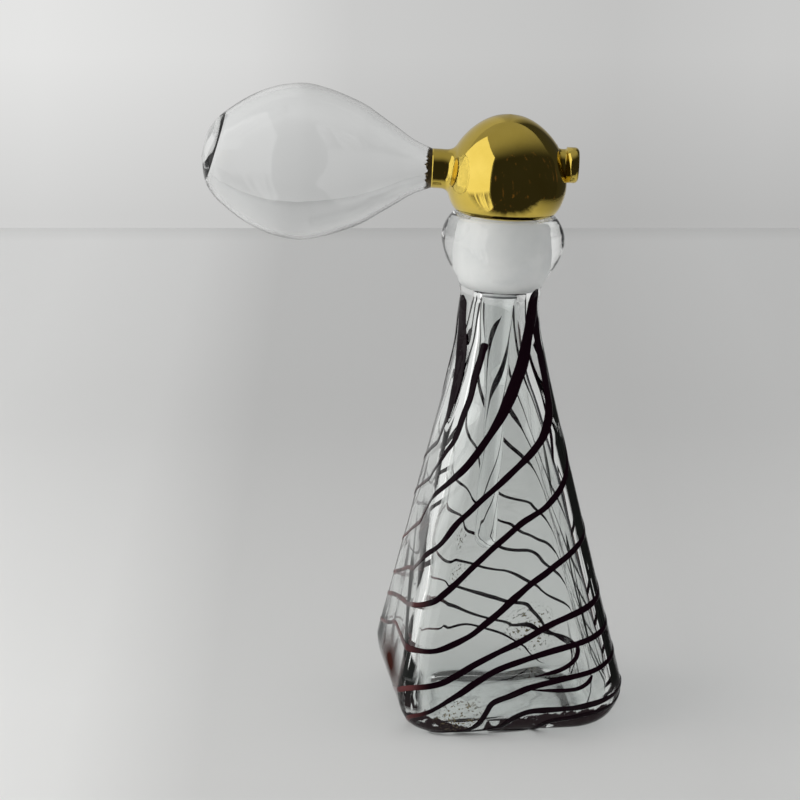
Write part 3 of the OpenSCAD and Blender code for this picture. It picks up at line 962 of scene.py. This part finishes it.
def make_rod():
    tip = PLUG_END - ROD_LENGTH
    outline = [(ROD_TIP_R*s, tip + ROD_TIP_R*c) for s, c in quarter(14)]
    root = PLUG_END - ROD_ROOT
    top_r = (ROD_R + PLUG_END_R)/2
    rise = root - tip - ROD_TIP_R
    for i in range(1, 25):
        t = i/24
        # The rod is drawn by hand and not quite even
        sway = 0.07*MM*sin(t*17) + 0.05*MM*sin(t*31 + 1)
        outline.append((ROD_TIP_R + (ROD_R - ROD_TIP_R)*t + sway*(1 - t), tip + ROD_TIP_R + rise*t))
    outline += [(ROD_R + (top_r - ROD_R)*ramp(i/6), root + ROD_ROOT*i/6) for i in range(1, 7)]
    rod = revolve("clear_rod", outline, LEANING, [rod_glass], 72)
    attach(rod, "plug")
    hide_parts("dauber_rod")


# Trails

# Middle lines of the trails in pixels of the photograph, from the foot up: those on the rear skin, seen
# through the glass, and then those on the near skin
REAR_TRACED = {
    0: [(550, 594), (541, 588), (534, 582), (520, 577), (507, 571), (495, 569), (480, 565), (470, 560),
        (455, 556), (443, 554), (430, 554)],
    1: [(552, 632), (545, 628), (537, 620), (530, 612), (522, 603), (505, 598), (490, 595), (480, 592),
        (467, 588), (455, 585), (440, 583), (432, 582), (425, 576)],
    2: [(538, 628), (527, 622), (513, 621), (505, 617), (492, 614), (480, 611), (470, 608), (455, 604),
        (438, 601)],
    3: [(478, 623), (465, 621), (455, 622), (447, 625), (440, 621), (432, 619), (425, 621), (503, 342)],
    6: [(537, 507), (531, 501), (515, 495), (500, 489)],
    7: [(545, 538), (537, 536), (530, 532), (523, 530), (513, 523), (503, 520), (495, 517)],
    8: [(555, 567), (543, 561), (535, 551), (527, 547), (515, 548), (500, 545), (485, 538), (472, 532),
        (463, 528), (455, 523), (445, 513)],
}
NEAR_TRACED = {
    0: [(402, 537), (412, 528), (420, 521), (429, 503), (450.6, 481.5), (472, 460), (494, 429), (506, 407),
        (516, 382), (525, 351), (531, 317)],
    1: [(390, 571), (400, 570), (408, 567), (413, 568), (421, 560), (440, 545), (456, 525), (480, 502),
        (500, 484), (518, 467), (535, 449), (545, 432), (549, 410), (546, 385), (541, 358), (536, 330),
        (533.5, 303)],
    2: [(385, 592), (395, 594), (411, 604), (430, 603), (446, 593), (470, 570), (497, 545), (520, 525),
        (545, 508), (558, 493), (565, 478)],
    3: [(385, 621), (395, 622), (415, 650), (440, 650), (470, 636), (500, 612), (530, 585), (560, 562),
        (578, 545), (586, 525)],
    4: [(410, 688), (440, 684), (480, 662), (520, 642), (550, 625), (575, 614), (590, 605), (599, 590)],
    5: [(433, 710), (460, 694), (500, 669), (540, 655), (580, 643), (600, 632), (607, 618)],
    6: [(468, 730), (478, 724), (486, 713), (493, 703), (510, 696), (530, 688), (560, 680), (590, 672),
        (608, 660)],
    7: [(500, 727), (512, 719), (528, 712), (547, 710), (574, 708), (592, 704), (611, 696), (425, 455),
        (431, 448), (438, 441), (448, 415), (455, 390), (459.5, 368), (462, 345), (463.5, 300)],
    8: [(530, 729), (547, 722), (574, 717), (592, 713), (611, 705), (417, 488), (423, 483), (430, 477),
        (441, 460), (455, 440), (463, 417), (475, 378), (480.5, 360), (485, 344)],
}


# Side branches that curl off a trail: pixels, from the thin end, and width in mm
BRANCHES = {
    5: [([(535, 677), (545, 674.5), (558, 671), (568.5, 665.5), (576, 658), (578, 650), (578, 645)], 1.3)],
    6: [([(532, 690), (545, 690.5), (564, 690.5), (578, 688.5), (588, 682.5), (592, 675)], 1.2)],
}


def nearness(turn):
    """0 at the middle of the rear face and 1 at the middle of the front face."""
    return 0.5 - 0.5*cos(radians(turn - 45))


def swirl_turn_at(i, z):
    """Turn of the swirl without a trail's own offset."""
    share = curve_at(z/NECK_HEIGHT, SWIRL_HEIGHTS, SWIRL_TURNS)
    turn = 360*(1 + TRAIL_STARTS[i]) - SWIRL_TURN*(1 - share)
    return turn - FLAT_LAG*cos(radians(4*(turn - 45)))


def known_places(i):
    """(height, turn beyond the swirl's own there) where the photograph shows a trail, from the foot up."""
    found = [far_place(x, y) for x, y in REAR_TRACED.get(i, [])]
    found += [skin_place(x, y) for x, y in NEAR_TRACED[i]]
    places = [(z, (turn - swirl_turn_at(i, z) + 180) % 360 - 180) for turn, z in found]
    return sorted(places, key=lambda p: (swirl_turn_at(i, p[0]) + p[1])/TURN_MEASURE + p[0]/MM)


def trail_path(i):
    """Dense (turn, height) points of a trail, from under the heel to its top."""
    known = known_places(i)
    top = NECK_HEIGHT*TRAIL_TOPS[i] + (TOP_RUNS[i]*MM if TRAIL_TOPS[i] == 1 else 0)
    high = max(top, known[-1][0])
    places = []
    z0, e0 = known[0]
    if z0 > FOOT_TOP + 1*MM:
        count = max(2, int((z0 - FOOT_TOP)/STATION))
        for k in range(count):
            z = FOOT_TOP + (z0 - FOOT_TOP)*k/count
            places.append((z, e0*ramp(1 - (z0 - z)/OFFSET_FADE) if z0 > 2*OFFSET_FADE else e0))
    for (z0, e0), (z1, e1) in zip(known, known[1:]):
        gap = (swirl_turn_at(i, z1) + e1 - swirl_turn_at(i, z0) - e0)/TURN_MEASURE + (z1 - z0)/MM
        count = max(1, int(gap/SHOWN_STATION))
        places += [(z0 + (z1 - z0)*k/count, e0 + (e1 - e0)*ramp(k/count)) for k in range(count)]
    z0, e0 = known[-1]
    count = max(1, int((high - z0)/STATION))
    places += [(z0 + (high - z0)*k/count, e0*ramp(1 - (high - z0)*k/count/(2*OFFSET_FADE)))
               for k in range(count + 1)]
    path = [(swirl_turn_at(i, z) + e, z) for z, e in places]
    turn, z = path[0]
    reach = REAR_FOOT_TURN + (FOOT_TURN - REAR_FOOT_TURN)*nearness(turn)
    shares = [k/FOOT_STEPS for k in range(FOOT_STEPS)]
    foot = [(turn - reach*(1 - s), FOOT_Z + (z - FOOT_Z)*s**2) for s in shares]
    return smooth([(a, b/MM) for a, b in foot + path], 6)


def evenly(path, spacing, drop=0.0):
    """Places on a path of (turn, height in mm), evenly spaced on the skin, closer in a drop at its end."""
    here = [skin_point(p.x, p.y*MM) for p in path]
    reach = [0]
    for a, b in zip(here, here[1:]):
        reach.append(reach[-1] + (b - a).length)
    count = int(reach[-1]/spacing)
    stops = [reach[-1]*k/count for k in range(count + 1)]
    if drop:
        stops = [s for s in stops if s < reach[-1] - drop]
        stops += [reach[-1] - drop*(1 - k/DROP_STEPS) for k in range(DROP_STEPS + 1)]
    out = []
    j = 0
    for s in stops:
        while j < len(path) - 2 and reach[j + 1] < s:
            j += 1
        t = (s - reach[j])/max(reach[j + 1] - reach[j], 1e-9)
        p = path[j] + (path[j + 1] - path[j])*t
        out.append((p.x, p.y*MM))
    return out


def trail_width(i, turn, z, k):
    near = nearness(turn)
    width = REAR_W + (FRONT_W - REAR_W)*near
    start, length = NECK_WIDENING
    width += (NECK_WIDTHS[i]*MM - width)*ramp((z - start)/length)
    start, length = FOOT_NARROWING
    foot_w = REAR_FOOT_W + (FOOT_W - REAR_FOOT_W)*near
    width += (foot_w - width)*ramp(1 - (z - start)/length)
    return width*(1 + WIDTH_WANDER*noise.noise(Vector((k*0.16, 3.1*i, 9.5))))


def strip(steps, halves):
    """Points and faces of a flat-bellied thread of glass that lies in the skin along the steps."""
    n = TRAIL_SIDES
    last = len(steps) - 1
    points = []
    for k, (turn, z) in enumerate(steps):
        here = skin_point(turn, z)
        along = skin_point(*steps[min(k + 1, last)]) - skin_point(*steps[max(k - 1, 0)])
        round_ = skin_point(turn + 0.05, z) - here
        up = skin_point(turn, z + 0.05*MM) - here
        normal = round_.cross(up).normalized()
        side = along.cross(normal).normalized()
        thin = min(1, halves[k]/THIN_HALF)
        middle = wavy(here, *SKIN_WAVE) + normal*TRAIL_LIFT
        for j in range(n):
            a = 2*pi*j/n
            rise = (TRAIL_OUT if sin(a) > 0 else TRAIL_IN)*thin*sin(a)
            points.append(middle + side*(halves[k]*cos(a)) + normal*rise)
    faces = [tuple(range(n))] + [tuple(reversed(f)) for f in tube_faces(len(steps), n)]
    faces.append(tuple(reversed(range(len(points) - n, len(points)))))
    return points, faces


def make_trail(i):
    steps = evenly(trail_path(i), TRAIL_STEP, DROP_LENGTH if i == DROP_TRAIL else 0)
    last = len(steps) - 1
    halves = []
    for k, (turn, z) in enumerate(steps):
        turn += TURN_WANDER*noise.noise(Vector((k*0.21, 7.3*i, 0.5)))
        steps[k] = (turn, z)
        ends = min(1, 0.3 + 0.7*sqrt(min(1, k/3)), 0.3 + 0.7*sqrt(min(1, (last - k)/2)))
        if i == DROP_TRAIL and last - k < DROP_STEPS:
            t = (last - k)/DROP_STEPS
            ends = sqrt(max(0.01, 1 - (1 - min(1, t*2.2))**2))*(1 + 0.3*ramp(1 - abs(t - 0.4)/0.4))
        if i == TAPER_TRAIL:
            ends *= ramp((last - k + 1)/TAPER_STEPS)
        halves.append(trail_width(i, turn, z, k)*ends/2)
    points, faces = strip(steps, halves)
    for pixels, width in BRANCHES.get(i, []):
        places = [skin_place(x, y) for x, y in pixels]
        twig = evenly(smooth([(turn, z/MM) for turn, z in places], 6), BRANCH_STEP)
        last = len(twig) - 1
        more, sides = strip(twig, [width*MM/2*(0.35 + 0.65*ramp(2.5*k/last))*min(1, 0.4 + 0.3*(last - k))
                                   for k in range(last + 1)])
        faces += [tuple(c + len(points) for c in f) for f in sides]
        points += more
    trail = mesh_object("dark_trail_%d" % (i + 1), points, faces, [trail_glass])
    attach(trail, "bottle")
    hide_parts("trail_%d" % (i + 1))


# Head

def dome_outline():
    return smooth(stations(DOME_SHARES, DOME_HEIGHT, DOME_R), 10)


def dome_radius(h, outline):
    for (r0, h0), (r1, h1) in zip(outline, outline[1:]):
        if h0 <= h <= h1:
            return r0 + (r1 - r0)*(h - h0)/max(h1 - h0, 1e-9)
    return 0


def make_dome():
    outline = dome_outline()
    low = outline[0]
    full = [(0, 0.0), (SHANK_R, 0), (low[0] - 0.6*MM, 0)] + [tuple(p) for p in outline]
    dome = revolve("gold_dome", [(r, h + DOME_BASE) for r, h in full], LEANING, [gold], 160)
    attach(dome, "head")
    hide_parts("gilded_dome")


def make_stem():
    """Flare that leaves the dome's skin and runs into the straight stem, then the stem's end."""
    outline = dome_outline()
    n = 96
    steps = 16

    def foot(a, radius):
        y, h = radius*cos(a), STEM_RISE + radius*sin(a)
        r = dome_radius(h, outline)
        return Vector((-sqrt(max(r*r - y*y, 0)), y, h + DOME_BASE))

    columns = []
    for k in range(n):
        a = 2*pi*k/n
        p0 = foot(a, FLARE_R)
        p3 = Vector((STEM_STRAIGHT - STEM_REACH, STEM_R*cos(a), STEM_W + STEM_R*sin(a)))
        reach = (p3 - p0).length
        p1 = p0 + (foot(a, FLARE_R - 0.3*MM) - p0).normalized()*(reach*0.45)
        p2 = p3 + Vector((reach*0.4, 0, 0))
        column = [p0*(1 - t)**3 + 3*p1*t*(1 - t)**2 + 3*p2*t*t*(1 - t) + p3*t**3
                  for t in (j/steps for j in range(steps + 1))]
        column += [p3 + Vector((-STEM_STRAIGHT*j/4, 0, 0)) for j in range(1, 5)]
        middle = Vector((-STEM_REACH, 0, STEM_W))
        column.append(middle + (column[-1] - middle)*0.7)
        columns.append(column)
    points = [LEANING @ p for ring in zip(*columns) for p in ring]
    faces = [tuple(reversed(f)) for f in tube_faces(len(columns[0]), n)]
    faces.append(tuple(range(len(points) - n, len(points))))
    stem = mesh_object("gold_stem", points, faces, [gold])
    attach(stem, "head")
    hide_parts("bulb_stem")


def make_nozzle():
    head = NOZZLE_REACH - NOZZLE_LENGTH
    neck = NOZZLE_R - NOZZLE_GROOVE
    outline = [(neck + NOZZLE_FLARE*(1 - s), head - 2.2*MM + NOZZLE_FLARE_LENGTH*c) for s, c in quarter(6)]
    outline += [(neck, head - 0.1*MM)]
    outline += [(neck + NOZZLE_GROOVE*c, head + NOZZLE_GROOVE*s) for s, c in quarter(6, 1)]
    outline += [(NOZZLE_R - NOZZLE_ROUND*c, NOZZLE_REACH - NOZZLE_ROUND*(1 - s)) for s, c in quarter(8)]
    outline += [(r, NOZZLE_REACH - depth) for r, depth in ORIFICE]
    nozzle = revolve("gold_nozzle", outline, ALONG_NOZZLE, [gold], 96)
    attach(nozzle, "head")
    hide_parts("spray_nozzle")


def offset_inwards(outline, wall):
    out = []
    for i, p in enumerate(outline):
        a = outline[max(i - 1, 0)]
        b = outline[min(i + 1, len(outline) - 1)]
        t = (b - a).normalized()
        out.append(p + Vector((-t.y, t.x))*wall)
    return out


def cut_at_lens(outline, turn):
    """Share of the outline's points at which it meets the inner face of the lens."""
    z0 = BULB_LENGTH - SEAL_THICK
    before = None
    for i, p in enumerate(outline):
        f = sin(SEAL_TILT)*p.x*cos(turn) + cos(SEAL_TILT)*(p.y - z0)
        if f >= 0 and before is not None:
            return i - 1 + before/(before - f)
        before = f
    return len(outline) - 1


def outline_point(outline, s):
    i = min(int(s), len(outline) - 2)
    return outline[i] + (outline[i + 1] - outline[i])*(s - i)


def bulb_point(p, turn):
    return ON_STEM @ Vector((p.x*cos(turn), p.x*sin(turn), p.y))


def make_bulb():
    n = 144
    rows = 72
    outer = smooth(stations(BULB_SHARES, BULB_LENGTH, BULB_R), 8)
    inner = [p for p in offset_inwards(outer, BULB_WALL) if p.x > 0.2*MM]
    points = []
    for outline in (outer, inner):
        ends = [cut_at_lens(outline, 2*pi*k/n) for k in range(n)]
        points += [bulb_point(outline_point(outline, ends[k]*j/rows), 2*pi*k/n)
                   for j in range(rows + 1) for k in range(n)]
    uvs = [(k/n, j/rows) for j in range(rows + 1) for k in range(n)]*2
    faces = tube_faces(rows + 1, n)
    faces += [tuple(reversed(f)) for f in tube_faces(rows + 1, n, (rows + 1)*n)]
    bulb = mesh_object("blown_bulb", points, faces, [bulb_skin], None, uvs)
    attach(bulb, "head")
    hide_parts("glass_bulb")
    make_seal(outer, inner, n)


def make_seal(outer, inner, n):
    """Lens that closes the bulb: the bulb's own outer end, and a hollow face inside."""
    cap_rows = 14
    face_rows = 8
    turns = [2*pi*k/n for k in range(n)]
    starts = [cut_at_lens(outer, turn) for turn in turns]
    end = len(outer) - 1.02
    points = [bulb_point(outline_point(outer, start + (end - start)*j/cap_rows), turn)
              for j in range(cap_rows + 1) for start, turn in zip(starts, turns)]
    middle = Vector((0, 0, BULB_LENGTH - SEAL_THICK))
    rims = [outline_point(inner, cut_at_lens(inner, turn)) for turn in turns]
    for j in range(face_rows + 1):
        share = 1 - j/face_rows*0.98
        sag = Vector((0, 0, SEAL_SAG*(1 - share*share)))
        for p, turn in zip(rims, turns):
            rim = Vector((p.x*cos(turn), p.x*sin(turn), p.y))
            points.append(ON_STEM @ (middle + (rim - middle)*share + sag))
    faces = tube_faces(cap_rows + 1, n)
    end = (cap_rows + 1)*n
    faces.append(tuple(range(end - n, end)))
    faces += [tuple(reversed(f)) for f in tube_faces(face_rows + 1, n, end)]
    faces.append(tuple(reversed(range(len(points) - n, len(points)))))
    seal = mesh_object("bulb_lens", points, faces, [bulb_glass])
    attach(seal, "head")
    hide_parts("bulb_end_seal")


make_body()
make_collar()
make_plug()
make_rod()
for number in range(len(TRAIL_STARTS)):
    make_trail(number)
make_dome()
make_stem()
make_nozzle()
make_bulb()


# Stage: a pale table, a pale wall, a window to the left and a dim room behind the camera
#
# A span gives where a change starts and ends, in metres, and with two more numbers from which level to which.

# Painted light on the table and the wall: their levels from left to right, by share of their span in x,
# brighter towards the window
TABLE_LIGHT_LEVELS = [(0, 0.71), (0.2, 0.65), (0.33, 0.53), (0.8, 0.51), (1, 0.555)]
TABLE_COLOR = (1, 1.005, 0.985)
TABLE_SPAN = (-0.18, 0.12)
TABLE_NEAR = (0.3, 0, 1, 1.19)
TABLE_FAR = (0.35, 0.64, 1, 1.09)
TABLE_RIM = (TABLE_END - 0.03, TABLE_END, 1, 0.9)
# The real table ends just in front of the bottle, so gold and glass see a dim room there
ROOM_FRONT = (-0.05, -0.12)
ROOM_FRONT_RAGGED = 0.04
ROOM_RIGHT = (0.12, 0.35)
WALL_LIGHT_LEVELS = [(0, 0.64), (0.29, 0.57), (0.43, 0.49), (0.8, 0.445), (1, 0.48)]
WALL_COLOR = (1, 1, 0.99)
WALL_SPAN = (-0.3, 0.25)
WALL_RISE = (-0.184, -0.06, 1, 1.22)
# Gold sees the wall dimmer, and hardly at all to the right
WALL_IN_GOLD = (0.3, 0.9, 0.65, 0.08)
WINDOW_COLOR = (1, 0.99, 0.98, 1)
WINDOW_LIGHT = 1.9
WINDOW_SHOWN = (0.3, 1.25)
WINDOW_SILL = (-0.25, -0.05)
WINDOW_BARS = ((0, 7, 0.3), 0.46, 0.54, 3)
ROOM_LAMPS = ((9, 9, 2.2), 0.63, 0.72, 3)

FLOOR_Z = -0.03*MM
TABLE_HALF = 2
WALL_Y = 1.6
WALL_X = 4
WALL_HEIGHTS_SHOWN = (-1.5, 2.6)
WINDOW_X = -1
WINDOW_HEIGHTS = (-1.6, 1.9)
WINDOW_SIDES = (-1.5, 0.4)
WINDOW_FRAME = (-1.62, -1.52)


def seen_directly(tree):
    """1 for rays that show a surface to the camera, straight or by way of metal and glass."""
    return greatest(tree, *[light_path(tree, kind) for kind in ("Camera", "Glossy", "Transmission")])


def shaded(tree, value, levels, color, factor):
    """One colour at the level that a value has on a ramp, times a factor."""
    stops = [(position, [c*level for c in color]) for position, level in levels]
    return add(tree, "VectorMath", {0: tones(tree, value, stops), "Scale": factor}, operation="SCALE")


def table_material():
    material, tree, shader, output = node_material("pale_table", {"Roughness": 0.8,
                                                                  "Specular IOR Level": 0.1})
    x, y, _ = split(tree, place_in(tree))
    # Painted light: lighter to the left towards the window, near the front and towards the back, darker at
    # the far rim
    factor = product(tree, *[ranged(tree, y, *span) for span in (TABLE_NEAR, TABLE_FAR, TABLE_RIM)])
    across = ranged(tree, x, *TABLE_SPAN)
    feed(tree, shader, {"Base Color": shaded(tree, across, TABLE_LIGHT_LEVELS, TABLE_COLOR, factor)})
    ragged = add(tree, "TexNoise", {"W": x, "Scale": 30, "Detail": 3}, noise_dimensions="1D")
    shift = ranged(tree, ragged, 0, 1, -ROOM_FRONT_RAGGED, ROOM_FRONT_RAGGED)
    front = ranged(tree, maths(tree, "ADD", y, shift), *ROOM_FRONT)
    right = product(tree, ranged(tree, x, *ROOM_RIGHT), light_path(tree, "Reflection"))
    either = greatest(tree, light_path(tree, "Glossy"), light_path(tree, "Transmission"))
    gone = add(tree, "BsdfTransparent", {})
    hidden = product(tree, greatest(tree, front, right), either)
    tree.links.new(mixed(tree, hidden, shader.outputs[0], gone), output)
    return material


def wall_material():
    material, tree, shader, output = node_material("pale_wall", {"Base Color": (0.7, 0.7, 0.71, 1),
                                                                 "Roughness": 0.9})
    x, _, z = split(tree, place_in(tree))
    # Painted light: the wall is lighter to the left, towards the window, and above the table's height
    color = shaded(tree, ranged(tree, x, *WALL_SPAN), WALL_LIGHT_LEVELS, WALL_COLOR, ranged(tree, z, *WALL_RISE))
    strength = add(tree, "Mix", {"Factor": light_path(tree, "Reflection"), "A": 1,
                                           "B": ranged(tree, x, *WALL_IN_GOLD)}, "Result")
    shown = add(tree, "Emission", {"Color": color, "Strength": strength})
    tree.links.new(mixed(tree, seen_directly(tree), shader.outputs[0], shown), output)
    return material


def window_material():
    """Bright panes, seen a little dimmer than they light, over dark bars below the table's height."""
    material, tree, _, output = node_material("window_light")
    place = place_in(tree)
    bars = slits(tree, place, *WINDOW_BARS)
    bright = greatest(tree, bars, ranged(tree, split(tree, place)[2], *WINDOW_SILL))
    lit = add(tree, "Emission", {"Color": WINDOW_COLOR, "Strength": WINDOW_LIGHT})
    shown = add(tree, "Emission", {"Color": WINDOW_COLOR,
                                             "Strength": ranged(tree, bright, 0, 1, *WINDOW_SHOWN)})
    tree.links.new(mixed(tree, seen_directly(tree), lit, shown), output)
    return material


def window_frame_material():
    material, tree, _, output = node_material("window_frame")
    tree.links.new(add(tree, "Emission", {"Color": (0.2, 0.2, 0.2, 1)}), output)
    return material


def stage_piece(name, corners, material, shown=True):
    obj = mesh_object(name, corners, [(0, 1, 2, 3)], [material])
    obj.visible_camera = shown


def beside(sides):
    """Corners of an upright pane at the window's distance, between two places in y."""
    (near, far), (low, high) = sides, WINDOW_HEIGHTS
    return [(WINDOW_X, near, low), (WINDOW_X, far, low), (WINDOW_X, far, high), (WINDOW_X, near, high)]


def make_stage():
    low, high = WALL_HEIGHTS_SHOWN
    stage_piece("table", [(-TABLE_HALF, -TABLE_HALF, FLOOR_Z), (TABLE_HALF, -TABLE_HALF, FLOOR_Z),
                          (TABLE_HALF, TABLE_END, FLOOR_Z), (-TABLE_HALF, TABLE_END, FLOOR_Z)],
                table_material())
    stage_piece("wall", [(-WALL_X, WALL_Y, low), (WALL_X, WALL_Y, low), (WALL_X, WALL_Y, high),
                         (-WALL_X, WALL_Y, high)], wall_material())
    stage_piece("window", beside(WINDOW_SIDES), window_material(), False)
    stage_piece("window_frame", beside(WINDOW_FRAME), window_frame_material(), False)


def make_world():
    """Dim room under a pale ceiling for what gold and glass show, and a softer, brighter one for light."""
    world = bpy.data.worlds.new("room")
    bpy.context.scene.world = world
    world.use_nodes = True
    tree = world.node_tree
    place = place_in(tree, "Generated")
    rise = add(tree, "VectorMath", {0: place, 1: (-0.2, 0.45, 0.7)}, "Value", operation="DOT_PRODUCT")
    pale = add(tree, "MapRange", {"Value": rise, "From Min": 0.15, "From Max": 0.7},
               interpolation_type="SMOOTHSTEP")
    dim = blended(tree, slits(tree, place, *ROOM_LAMPS), (0.03, 0.03, 0.033, 1), (0.17, 0.10, 0.08, 1))
    room = blended(tree, pale, dim, (0.38, 0.38, 0.38, 1))
    lit = blended(tree, light_path(tree, "Diffuse"), room, (0.80, 0.80, 0.81, 1))
    shown = blended(tree, light_path(tree, "Camera"), lit, (0.58, 0.58, 0.59, 1))
    feed(tree, tree.nodes["Background"], {"Color": shown})


make_stage()
make_world()
bpy.context.scene.view_settings.view_transform = "Standard"
